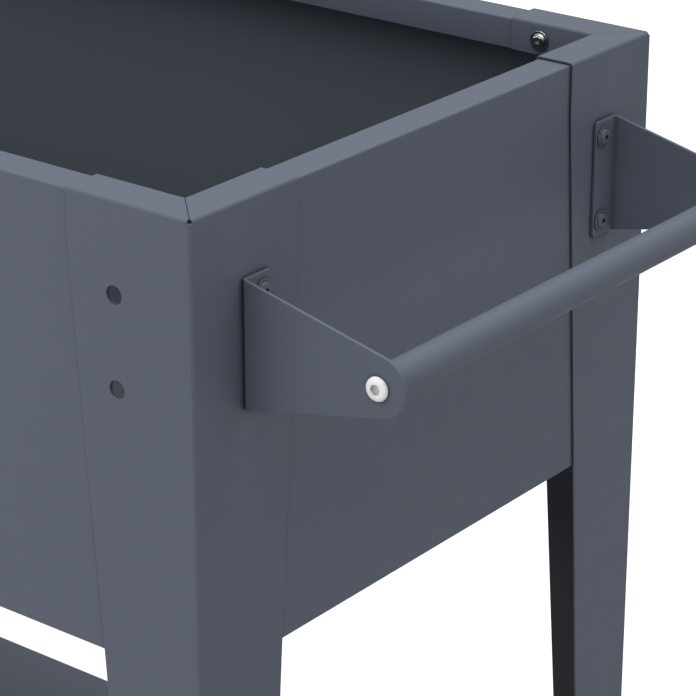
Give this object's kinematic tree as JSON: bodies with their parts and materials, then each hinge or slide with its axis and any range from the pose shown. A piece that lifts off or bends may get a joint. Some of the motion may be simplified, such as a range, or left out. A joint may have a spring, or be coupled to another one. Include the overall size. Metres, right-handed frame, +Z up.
{
  "type": "raised planter on legs",
  "caption": "Open-topped folded-steel trough planter on tapered corner legs, with a low shelf, a tubular push handle on one end and a wheeled axle at the other.",
  "frame": {"origin": "under the middle of the whole object's box, on the ground", "axes": "+X towards the handle end, +Z up, -Y the left-hand side of a person holding the handle"},
  "size_m": [1.1596, 0.498, 0.8],
  "materials": {
    "slate_paint": "satin slate-grey powder coat with a very fine orange-peel texture",
    "painted_fastener": "screw heads painted with the frame, a little glossier",
    "black_steel": "black oxide, polished by the tool",
    "zinc": "bright zinc plate",
    "black_plastic": "moulded black plastic",
    "wheel_plastic": "moulded dark grey plastic",
    "tyre_rubber": "matt black rubber"
  },
  "bodies": {
    "frame": {"leg_handle_left": "slate_paint", "leg_handle_right": "slate_paint", "leg_wheel_left": "slate_paint", "leg_wheel_right": "slate_paint", "side_panel_left": "slate_paint", "side_panel_right": "slate_paint", "end_panel_handle": "slate_paint", "end_panel_wheel": "slate_paint", "floor_pan": "slate_paint", "floor_brace_1": "slate_paint", "floor_brace_2": "slate_paint", "shelf": "slate_paint", "handle_bracket_left": "slate_paint", "handle_bracket_right": "slate_paint", "handle_tube": "slate_paint", "handle_insert_left": "zinc", "handle_screw_left": "zinc", "bracket_screw_left_upper": "painted_fastener", "bracket_nut_left_upper": "zinc", "bracket_screw_left_lower": "painted_fastener", "bracket_nut_left_lower": "zinc", "foot_cap_left": "black_plastic", "axle_spacer_left": "black_plastic", "axle_cap_left": "black_plastic", "lip_screw_side_handle_left": "black_steel", "lip_nut_side_handle_left": "zinc", "lip_screw_end_handle_left": "black_steel", "lip_nut_end_handle_left": "zinc", "shelf_screw_handle_left": "painted_fastener", "lip_screw_side_wheel_left": "black_steel", "lip_nut_side_wheel_left": "zinc", "lip_screw_end_wheel_left": "black_steel", "lip_nut_end_wheel_left": "zinc", "shelf_screw_wheel_left": "painted_fastener", "handle_insert_right": "zinc", "handle_screw_right": "zinc", "bracket_screw_right_upper": "painted_fastener", "bracket_nut_right_upper": "zinc", "bracket_screw_right_lower": "painted_fastener", "bracket_nut_right_lower": "zinc", "foot_cap_right": "black_plastic", "axle_spacer_right": "black_plastic", "axle_cap_right": "black_plastic", "lip_screw_side_handle_right": "black_steel", "lip_nut_side_handle_right": "zinc", "lip_screw_end_handle_right": "black_steel", "lip_nut_end_handle_right": "zinc", "shelf_screw_handle_right": "painted_fastener", "lip_screw_side_wheel_right": "black_steel", "lip_nut_side_wheel_right": "zinc", "lip_screw_end_wheel_right": "black_steel", "lip_nut_end_wheel_right": "zinc", "shelf_screw_wheel_right": "painted_fastener", "axle": "zinc"},
    "wheel_left": {"wheel_hub_left": "wheel_plastic", "tyre_left": "tyre_rubber"},
    "wheel_right": {"wheel_hub_right": "wheel_plastic", "tyre_right": "tyre_rubber"}
  },
  "joints": [
    {"name": "wheel_left_spin", "type": "hinge", "parent": "frame", "child": "wheel_left", "pos_m": [-0.5048, -0.22365, 0.075], "axis": [0, 1, 0], "continuous": true},
    {"name": "wheel_right_spin", "type": "hinge", "parent": "frame", "child": "wheel_right", "pos_m": [-0.5048, 0.22365, 0.075], "axis": [0, 1, 0], "continuous": true}
  ]
}
